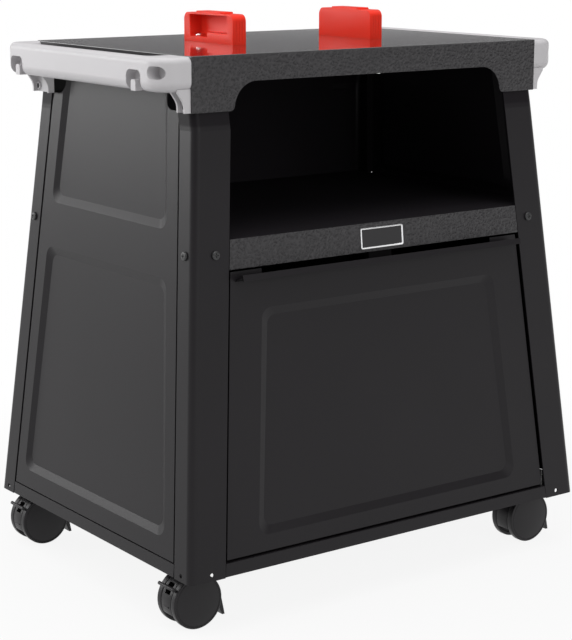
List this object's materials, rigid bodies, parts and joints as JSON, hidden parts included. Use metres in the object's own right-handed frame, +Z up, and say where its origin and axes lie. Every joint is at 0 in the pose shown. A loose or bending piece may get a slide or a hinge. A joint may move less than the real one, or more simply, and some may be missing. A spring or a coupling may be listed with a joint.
{
  "type": "grill cart with storage",
  "caption": "Leaning sheet-steel cart for a tabletop grill, with an open upper compartment, a drop-down storage door, side hand rails, red guides on top and swivel casters.",
  "frame": {"origin": "on the floor under the middle of the cart", "axes": "+X to the right along the front, +Y from the front to the back, +Z up"},
  "size_m": [0.6974, 0.5244, 0.7935],
  "materials": {
    "badge_metal": "bare plate, raised bright border",
    "cabinet_steel": "satin dark grey paint",
    "caster_plastic": "moulded black",
    "cover_steel": "smooth satin dark grey paint",
    "guide_plastic": "translucent red",
    "hammered_steel": "hammered dark grey paint",
    "plated_steel": "zinc plated",
    "rail_plastic": "fine matt light grey",
    "screw_steel": "black pan heads",
    "wheel_plastic": "moulded black"
  },
  "bodies": {
    "cart": {"back_panel": "cabinet_steel", "badge_plate": "badge_metal", "bottom_panel": "cabinet_steel", "caster_front_left_mount": "plated_steel", "caster_front_right_mount": "plated_steel", "caster_rear_left_mount": "plated_steel", "caster_rear_right_mount": "plated_steel", "door_catch": "caster_plastic", "front_crossbar": "hammered_steel", "front_fascia": "hammered_steel", "grill_guide_left": "guide_plastic", "grill_guide_left_plate": "plated_steel", "grill_guide_right": "guide_plastic", "grill_guide_right_plate": "plated_steel", "guide_screw_left": "screw_steel", "guide_screw_right": "screw_steel", "hinge_bracket_left": "plated_steel", "hinge_bracket_right": "plated_steel", "leg_front_left": "cabinet_steel", "leg_front_right": "cabinet_steel", "leg_rear_left": "cabinet_steel", "leg_rear_right": "cabinet_steel", "leg_screws_front_left": "screw_steel", "leg_screws_front_right": "screw_steel", "leg_screws_rear_left": "screw_steel", "leg_screws_rear_right": "screw_steel", "middle_shelf": "cabinet_steel", "rail_screws_left": "screw_steel", "rail_screws_right": "screw_steel", "side_panel_left": "cabinet_steel", "side_panel_right": "cabinet_steel", "side_rail_left": "rail_plastic", "side_rail_right": "rail_plastic", "top_cover": "cover_steel"},
    "door": {"door_panel": "cabinet_steel"},
    "caster_front_left_swivel": {"caster_front_left_hood": "caster_plastic"},
    "caster_front_left_wheels": {"caster_front_left_axle": "plated_steel", "caster_front_left_wheel_front": "wheel_plastic", "caster_front_left_wheel_rear": "wheel_plastic"},
    "caster_front_left_brake": {"caster_front_left_brake_lever": "caster_plastic"},
    "caster_front_right_swivel": {"caster_front_right_hood": "caster_plastic"},
    "caster_front_right_wheels": {"caster_front_right_axle": "plated_steel", "caster_front_right_wheel_front": "wheel_plastic", "caster_front_right_wheel_rear": "wheel_plastic"},
    "caster_rear_left_swivel": {"caster_rear_left_hood": "caster_plastic"},
    "caster_rear_left_wheels": {"caster_rear_left_axle": "plated_steel", "caster_rear_left_wheel_front": "wheel_plastic", "caster_rear_left_wheel_rear": "wheel_plastic"},
    "caster_rear_left_brake": {"caster_rear_left_brake_lever": "caster_plastic"},
    "caster_rear_right_swivel": {"caster_rear_right_hood": "caster_plastic"},
    "caster_rear_right_wheels": {"caster_rear_right_axle": "plated_steel", "caster_rear_right_wheel_front": "wheel_plastic", "caster_rear_right_wheel_rear": "wheel_plastic"}
  },
  "joints": [
    {"name": "door_hinge", "type": "hinge", "parent": "cart", "child": "door", "pos_m": [0, -0.24883, 0.109], "axis": [1, 0, 0], "range_deg": [0, 90]},
    {"name": "caster_front_left_swivel", "type": "hinge", "parent": "cart", "child": "caster_front_left_swivel", "pos_m": [-0.2992, -0.208, 0.088], "axis": [0, 0, 1], "continuous": true},
    {"name": "caster_front_left_roll", "type": "hinge", "parent": "caster_front_left_swivel", "child": "caster_front_left_wheels", "pos_m": [-0.3107, -0.208, 0.0375], "axis": [0, 1, 0], "continuous": true},
    {"name": "caster_front_left_brake", "type": "hinge", "parent": "caster_front_left_swivel", "child": "caster_front_left_brake", "pos_m": [-0.33586, -0.208, 0.05384], "axis": [0, -1, 0], "range_deg": [0, 12]},
    {"name": "caster_front_right_swivel", "type": "hinge", "parent": "cart", "child": "caster_front_right_swivel", "pos_m": [0.2992, -0.208, 0.088], "axis": [0, 0, 1], "continuous": true},
    {"name": "caster_front_right_roll", "type": "hinge", "parent": "caster_front_right_swivel", "child": "caster_front_right_wheels", "pos_m": [0.2877, -0.208, 0.0375], "axis": [0, 1, 0], "continuous": true},
    {"name": "caster_rear_left_swivel", "type": "hinge", "parent": "cart", "child": "caster_rear_left_swivel", "pos_m": [-0.2992, 0.208, 0.088], "axis": [0, 0, 1], "continuous": true},
    {"name": "caster_rear_left_roll", "type": "hinge", "parent": "caster_rear_left_swivel", "child": "caster_rear_left_wheels", "pos_m": [-0.3107, 0.208, 0.0375], "axis": [0, 1, 0], "continuous": true},
    {"name": "caster_rear_left_brake", "type": "hinge", "parent": "caster_rear_left_swivel", "child": "caster_rear_left_brake", "pos_m": [-0.33586, 0.208, 0.05384], "axis": [0, -1, 0], "range_deg": [0, 12]},
    {"name": "caster_rear_right_swivel", "type": "hinge", "parent": "cart", "child": "caster_rear_right_swivel", "pos_m": [0.2992, 0.208, 0.088], "axis": [0, 0, 1], "continuous": true},
    {"name": "caster_rear_right_roll", "type": "hinge", "parent": "caster_rear_right_swivel", "child": "caster_rear_right_wheels", "pos_m": [0.2877, 0.208, 0.0375], "axis": [0, 1, 0], "continuous": true}
  ]
}
